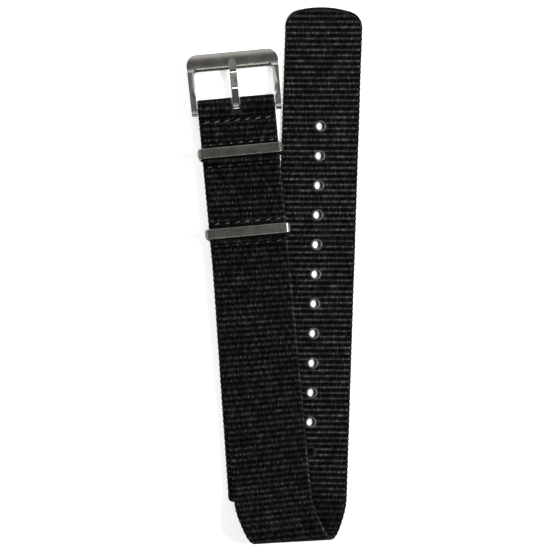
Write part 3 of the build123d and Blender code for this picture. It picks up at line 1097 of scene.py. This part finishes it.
@dataclass
class LongStrap:
    """The long strap: sewn back round the spring bar, folded over, and pierced along its tail.

    It is woven wider than it ends up, because its edges are drawn in between the ribs. The hole nearest the
    fold is almost closed by its lip.
    """

    lie: Lie
    width: float = WIDTH
    woven_width: float = 0.02
    crown_radius: float = 0.025
    corner_radius: float = 0.0028
    tip_blend: float = 0.008
    first_hole: float = 0.0307
    hole_pitch: float = 0.00763
    hole_radius: float = 0.001
    hole_count: int = 12
    hole_lip: float = 0.00062
    last_hole_lip: float = 0.00165
    rim_width: float = 0.00042
    bead_radius: float = 0.00122
    bead_width: float = 0.00023
    bead_height: float = 0.00017
    bead_sunk_share: float = 1 / 3
    bead_unevenness: float = 0.06
    bead_noise_scale: float = 1500.0
    bead_sides: int = 10
    bead_steps: int = 40
    sealed_width: float = 0.0007
    slot_half_width: float = 0.00102
    slot_past_bar: float = 0.00095
    slot_power: float = 8.0
    slot: str = "webbing"

    def webbing(self) -> Webbing:
        """Picks the webbing.

        Returns:
            The webbing that the strap is cut from, with its seams marked.
        """
        lie = self.lie
        front = [lie.front_distance(distance) for distance in lie.seams]
        back = [lie.fold_back - distance for distance in lie.seams if distance < lie.fold_back]
        seams = (*front, *back)
        return Webbing("long_strap", lie.length, self.woven_width, seams=seams, fold_at=lie.fold_start)

    def holes(self) -> list[Opening]:
        """Places the row of holes along the tail.

        Returns:
            The holes, with the one nearest the fold last.
        """
        first = self.lie.length - self.first_hole
        places = [first - self.hole_pitch * index for index in range(self.hole_count)]
        lips = [self.hole_lip] * (self.hole_count - 1) + [self.last_hole_lip]
        radius = self.hole_radius
        return [Opening(place, radius, radius, lip=lip) for place, lip in zip(places, lips)]

    def tang_slot(self) -> Opening:
        """Places the slot round the spring bar that the tang passes through.

        Returns:
            The slot.
        """
        start = self.lie.fold_back - self.slot_past_bar
        end = self.lie.front_distance(self.slot_past_bar)
        return Opening((start + end) / 2, self.slot_half_width, (end - start) / 2, power=self.slot_power)

    def tip_drop(self, across: float) -> float:
        """Works out the tail's crowned end.

        Args:
            across: place across the strap.

        Returns:
            How far the end stands back there from its furthest point.
        """
        place = min(abs(across), self.width / 2)
        corner = self.width / 2 - self.corner_radius
        drop = arc_drop(self.crown_radius, min(place, corner))
        slope = corner / sqrt(self.crown_radius**2 - corner**2)
        past = max(place - corner, 0.0)
        return drop + past * slope + arc_drop(self.corner_radius, past)

    def melt(self, across: float, along: float) -> float:
        """Works out where the strap is melted.

        Args:
            across: place across the strap.
            along: place along it.

        Returns:
            How far it is melted there, from 0 to 1.
        """
        from_tip = self.lie.length - self.tip_drop(across) - along
        slot = self.tang_slot()
        from_slot = max(abs(across) - slot.half_wide, abs(along - slot.along) - slot.half_long)
        return max(
            soft_step(CUT_END_MELT - from_tip / self.sealed_width),
            soft_step(SEWN_END_MELT - along / self.sealed_width),
            soft_step(CUT_END_MELT - self.from_hole(across, along) / self.rim_width),
            soft_step(SLOT_MELT - from_slot / self.rim_width),
        )

    def from_hole(self, across: float, along: float) -> float:
        """Measures a place against the nearest hole.

        Args:
            across: place across the strap.
            along: place along it.

        Returns:
            Its distance from the hole's rim.
        """
        middle = self.lie.length - self.first_hole
        index = min(max(round((middle - along) / self.hole_pitch), 0), self.hole_count - 1)
        return hypot(across, along - middle + index * self.hole_pitch) - self.hole_radius

    def bead(self, hole: Opening) -> bmesh.types.BMesh:
        """Makes the uneven bead of melted nylon that stands round a hole on the upper face.

        Args:
            hole: the hole.

        Returns:
            The bead, in place.
        """
        mesh = bmesh.new()
        bmesh.ops.create_circle(mesh, segments=self.bead_sides, radius=1.0)
        bmesh.ops.scale(mesh, verts=mesh.verts, vec=(self.bead_width, self.bead_height, 1.0))
        bmesh.ops.rotate(mesh, verts=mesh.verts, matrix=Matrix.Rotation(pi / 2, 3, "X"))
        bmesh.ops.translate(mesh, verts=mesh.verts, vec=(self.bead_radius, 0.0, 0.0))
        bmesh.ops.spin(
            mesh,
            geom=mesh.edges[:],
            axis=(0, 0, 1),
            cent=(0, 0, 0),
            angle=2 * pi,
            steps=self.bead_steps,
            use_merge=True,
        )
        for vert in mesh.verts:
            rough = noise(Vector((vert.co.x, vert.co.y, hole.along)) * self.bead_noise_scale)
            vert.co += vert.co.normalized() * self.bead_unevenness * self.bead_radius * rough
        spot = self.lie.spot(hole.along)
        place = Matrix((spot.across, spot.out.cross(spot.across), spot.out)).transposed().to_4x4()
        height = self.lie.thickness / 2 - self.bead_height * self.bead_sunk_share
        place.translation = spot.point + spot.out * height
        bmesh.ops.transform(mesh, matrix=place, verts=mesh.verts)
        return mesh

    def beads(self, material: bpy.types.Material) -> bpy.types.Object:
        """Makes the beads round all the holes but the one nearest the fold.

        Args:
            material: melted nylon.

        Returns:
            The finished piece, in place.
        """
        whole = joined([self.bead(hole) for hole in self.holes()[:-1]])
        piece = piece_of(whole, "melted_hole_rims", material)
        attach(piece, "strap")
        return piece

    def build(self, material: bpy.types.Material) -> bpy.types.Object:
        """Makes the strap.

        Args:
            material: woven nylon.

        Returns:
            The finished piece, in place.
        """
        webbing = self.webbing()
        mesh = webbing.woven()
        for opening in [*self.holes(), self.tang_slot()]:
            webbing.pierce(mesh, opening)
        for vert in mesh.verts:
            blend = soft_step((vert.co.y - self.lie.length + self.tip_blend) / self.tip_blend)
            vert.co.y -= self.tip_drop(vert.co.x) * blend
        webbing.unrolled(mesh)
        webbing.relief(mesh, self.melt)
        webbing.laid(mesh, self.lie.spot)
        bmesh.ops.recalc_face_normals(mesh, faces=mesh.faces)
        piece = piece_of(mesh, webbing.name, material)
        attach(piece, "strap")
        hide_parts("main_webbing")
        return piece


@dataclass
class ShortStrap:
    """The under strap: sewn in beneath the long one, with a sealed free end that leans out to the left."""

    lie: Lie
    width: float = WIDTH
    start: float = 0.0022
    length: float = 0.0989
    corner_radius: float = 0.0013
    end_blend: float = 0.0039
    lean: float = 1.35
    bend_at: float = 0.03585
    sealed_width: float = 0.0008
    rows_per_rib: int = 8
    slot: str = "webbing"

    def end_drop(self, across: float) -> float:
        """Returns how far the free end's rounded corners stand back from it."""
        past = max(min(abs(across), self.width / 2) - self.width / 2 + self.corner_radius, 0.0)
        return arc_drop(self.corner_radius, past)

    def melt(self, across: float, along: float) -> float:
        """Works out where the strap is melted.

        Args:
            across: place across the strap.
            along: place along it.

        Returns:
            How far it is melted there, from 0 to 1.
        """
        from_end = self.length - self.end_drop(across) - along
        at_end = soft_step(CUT_END_MELT - from_end / self.sealed_width)
        return max(at_end, soft_step(SEWN_END_MELT - along / self.sealed_width))

    def spot(self, along: float) -> Spot:
        """Finds a spot on the strap.

        Args:
            along: distance along it from its sewn end.

        Returns:
            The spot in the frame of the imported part.
        """
        height = self.lie.under_bottom + self.lie.floor_mid
        place = self.start + along
        past = max(place - self.bend_at, 0.0)
        turn = radians(self.lean) if past else 0.0
        point = Vector((-past * sin(turn), -(place - past) - past * cos(turn), height))
        frame = self.lie.main_frame
        across = frame.to_3x3() @ Vector((-cos(turn), sin(turn), 0.0))
        return Spot(frame @ point, across, Vector((0.0, 0.0, 1.0)))

    def build(self, material: bpy.types.Material) -> bpy.types.Object:
        """Makes the strap.

        Args:
            material: woven nylon.

        Returns:
            The finished piece, in place.
        """
        seams = tuple(distance - self.start for distance in self.lie.seams if distance > self.lie.fold_back)
        webbing = Webbing("under_strap", self.length, self.width, rows_per_rib=self.rows_per_rib, seams=seams)
        mesh = webbing.woven()
        for vert in mesh.verts:
            blend = soft_step((vert.co.y - self.length + self.end_blend) / self.end_blend)
            vert.co.y -= self.end_drop(vert.co.x) * blend
        webbing.unrolled(mesh)
        webbing.relief(mesh, self.melt)
        webbing.laid(mesh, self.spot)
        bmesh.ops.recalc_face_normals(mesh, faces=mesh.faces)
        piece = piece_of(mesh, webbing.name, material)
        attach(piece, "strap")
        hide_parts("under_webbing")
        return piece


@dataclass
class Seams:
    """Rows of lockstitch across the straps, each a needle thread on top and a bobbin thread beneath."""

    lie: Lie
    pitch: float = 0.00265
    length: float = 0.0022
    count: int = 7
    slant: float = 17.0
    ply_radius: float = 0.00013
    ply_share: float = 1.05
    lobe_share: float = 0.7
    end_power: int = 8
    point_radius: float = 0.000001
    merge_gap: float = 0.000003
    twist: float = 0.0009
    sink: float = 0.00007
    dive: float = 0.0004
    dive_power: int = 5
    bed: float = 0.00024
    steps: int = 28
    around: int = 10
    jog: float = 0.00012
    jog_scales: tuple[float, float] = (900.0, 700.0)
    jog_seed: float = 3.0
    slot: str = "thread"

    def stitch(self, middle: Vector, up: Vector) -> bmesh.types.BMesh:
        """Makes one stitch as a twisted pair of plies.

        Args:
            middle: the stitch's middle on the webbing, in the main frame.
            up: the way out of the webbing.

        Returns:
            The stitch.
        """
        mesh = rolled_grid(self.steps, self.around)
        row = mesh.verts.layers.int["row"]
        spot = mesh.verts.layers.int["spot"]
        slant = radians(self.slant)
        along = Vector((cos(slant), sin(slant), 0.0))
        side = up.cross(along)
        for vert in mesh.verts:
            share = vert[row] / self.steps * 2 - 1
            turn = 2 * pi * vert[spot] / self.around
            lobe = abs(cos(turn + share * self.length / self.twist * pi / 2))
            ends = sqrt(1 - abs(share) ** self.end_power)
            radius = self.ply_radius * (self.ply_share + self.lobe_share * lobe) * ends
            sink = self.sink + self.dive * abs(share) ** self.dive_power
            centre = middle + along * (share * self.length / 2) - up * sink
            vert.co = centre + (side * cos(turn) + up * sin(turn)) * max(radius, self.point_radius)
        close_tube(mesh, self.merge_gap)
        return mesh

    def row(self, distance: float, thread: Thread) -> bmesh.types.BMesh:
        """Makes one thread of a seam.

        Args:
            distance: the seam's distance from the spring bar.
            thread: which thread.

        Returns:
            Its stitches, in place.
        """
        lie = self.lie
        lowest = 0.0 if distance < lie.fold_back else lie.under_bottom
        height = lie.front_top - self.bed if thread is Thread.NEEDLE else lowest + self.bed
        up = Vector((0.0, 0.0, 1.0 if thread is Thread.NEEDLE else -1.0))
        places = [(index - (self.count - 1) / 2) * self.pitch for index in range(self.count)]
        over, down = self.jog_scales
        jogs = [self.jog * noise(Vector((place * over, distance * down, self.jog_seed))) for place in places]
        middles = [Vector((place, -distance + jog, height)) for place, jog in zip(places, jogs)]
        whole = joined([self.stitch(middle, up) for middle in middles])
        bmesh.ops.transform(whole, matrix=lie.main_frame, verts=whole.verts)
        return whole

    def build(self, material: bpy.types.Material) -> list[bpy.types.Object]:
        """Makes every seam.

        Args:
            material: sewing thread.

        Returns:
            The finished threads, in place.
        """
        pieces = []
        for number, distance in enumerate(self.lie.seams, 1):
            for thread in Thread:
                mesh = self.row(distance, thread)
                bmesh.ops.recalc_face_normals(mesh, faces=mesh.faces)
                piece = piece_of(mesh, f"seam_{number}_{thread.value}_stitches", material)
                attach(piece, "strap")
                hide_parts(f"seam_{number}_{thread.value}_thread")
                pieces.append(piece)
        return pieces


@dataclass
class Metalwork:
    """The steel pieces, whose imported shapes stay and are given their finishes."""

    nodes: dict[str, bpy.types.Object]
    lean: float

    def dress(self) -> list[bpy.types.Object]:
        """Gives each steel piece its material.

        Returns:
            The pieces.
        """
        made: dict[str, bpy.types.Material] = {}
        pieces = []
        for name, finish in STEEL_PIECES.items():
            if finish.name not in made:
                made[finish.name] = finish.build(self.lean)
            node = self.nodes[name]
            node.data.materials.clear()
            node.data.materials.append(made[finish.name])
            pieces.append(node)
        return pieces


# The studio


@dataclass(frozen=True)
class Softbox:
    """One square lamp: where it hangs, its side, and its strength."""

    name: str
    place: tuple[float, float, float]
    side: float
    power: float


@dataclass
class Studio:
    """A pale table, soft lamps and a camera that looks straight down."""

    pixels: float = 553.0
    pixels_per_metre: float = 3875.0
    frame_centre: tuple[float, float] = (276.5, 276.5)
    origin_pixel: tuple[float, float] = (274.5, 275.15)
    camera_height: float = 0.7
    sensor: float = 36.0
    table_half: float = 2.0
    table_drop: float = 0.00001
    table_colour: Colour = (0.82, 0.82, 0.82)
    table_glow: float = 0.58
    sky: float = 0.11
    lamps: tuple[Softbox, ...] = (
        Softbox("key_lamp", (0.62, 0.06, 0.77), 0.24, 9.0),
        Softbox("left_lamp", (-0.75, 0.1, 0.45), 0.3, 0.6),
        Softbox("fill_lamp", (-0.5, 0.75, 0.55), 0.5, 4.0),
        Softbox("bevel_lamp", (0.06, -0.66, 0.72), 0.22, 0.5),
        Softbox("overhead_lamp", (0.03, -0.11, 0.85), 0.12, 0.3),
        Softbox("top_lamp", (0.05, 0.8, 0.64), 0.6, 1.0),
    )

    def table(self) -> bpy.types.Object:
        """Makes the table, which shows white and keeps the strap's shadow.

        Returns:
            The table, which is no part of the strap.
        """
        mesh = bmesh.new()
        bmesh.ops.create_grid(mesh, x_segments=1, y_segments=1, size=self.table_half)
        bmesh.ops.translate(mesh, verts=mesh.verts, vec=(0.0, 0.0, -self.table_drop))
        tree = Tree("pale_table")
        names = ("Is Camera Ray", "Is Glossy Ray", "Is Transmission Ray")
        rays = [tree.node("ShaderNodeLightPath", {}, {}, name) for name in names]
        seen = (rays[0] + rays[1] + rays[2]).within()
        inputs = {
            "Base Color": (*self.table_colour, 1.0),
            "Roughness": 1.0,
            "Specular IOR Level": 0.0,
            "Emission Color": tree.shade((0.0, 0.0, 0.0), (1.0, 1.0, 1.0), seen),
            "Emission Strength": self.table_glow,
        }
        table = piece_of(mesh, "table_top", tree.finished(inputs))
        return table

    def light(self) -> None:
        """Hangs the lamps and sets the sky."""
        world = bpy.data.worlds.new("studio")
        bpy.context.scene.world = world
        world.use_nodes = True
        background = world.node_tree.nodes["Background"]
        background.inputs["Color"].default_value = (1.0, 1.0, 1.0, 1.0)
        background.inputs["Strength"].default_value = self.sky
        for lamp in self.lamps:
            data = bpy.data.lights.new(lamp.name, "AREA")
            data.size = lamp.side
            data.energy = lamp.power
            hung = bpy.data.objects.new(lamp.name, data)
            bpy.context.scene.collection.objects.link(hung)
            hung.location = lamp.place
            hung.rotation_euler = (-Vector(lamp.place)).to_track_quat("-Z", "Y").to_euler()

    def camera(self) -> None:
        """Hangs the camera over the middle of the photograph's frame."""
        x = (self.frame_centre[0] - self.origin_pixel[0]) / self.pixels_per_metre
        y = (self.origin_pixel[1] - self.frame_centre[1]) / self.pixels_per_metre
        data = bpy.data.cameras.new("camera")
        data.sensor_width = self.sensor
        data.lens = self.sensor * self.camera_height * self.pixels_per_metre / self.pixels
        camera = bpy.data.objects.new("camera", data)
        bpy.context.scene.collection.objects.link(camera)
        camera.location = (x, y, self.camera_height)
        bpy.context.scene.camera = camera

    def build(self) -> None:
        """Sets the whole studio up."""
        self.table()
        self.light()
        self.camera()
        bpy.context.scene.view_settings.view_transform = "Standard"


def report(pieces: Iterable[bpy.types.Object]) -> None:
    """Logs each piece with its count of faces."""
    for piece in pieces:
        log.info("%s: %d faces", piece.name, len(piece.data.polygons))


def joint_named(frame: dict, name: str) -> dict:
    """Returns the frame's joint of that name."""
    return next(joint for joint in frame["joints"] if joint["name"] == name)


def main() -> None:
    """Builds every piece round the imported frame."""
    logging.basicConfig(level=logging.INFO, format="%(name)s: %(message)s")
    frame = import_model()

    swing = joint_named(frame, "buckle_swing")
    bar = Vector(swing["pos_m"])
    lean = degrees(atan2(swing["axis"][1], swing["axis"][0]))
    keepers = [Vector(joint_named(frame, f"keeper_{level}_tilt")["pos_m"]) for level in ("upper", "lower")]
    tunnels = tuple((Vector(keeper.xy) - bar.xy).length for keeper in keepers)
    lie = Lie(bar=bar, lean=lean, tunnels=tunnels)

    nylon = WovenNylon().build()
    long_strap = LongStrap(lie)
    report([long_strap.build(nylon), long_strap.beads(MELTED_NYLON.build())])
    report([ShortStrap(lie).build(nylon)])
    report(Seams(lie).build(SEWING_THREAD.build()))
    report(Metalwork(frame["nodes"], lean).dress())
    Studio().build()


if __name__ == "__main__":
    main()
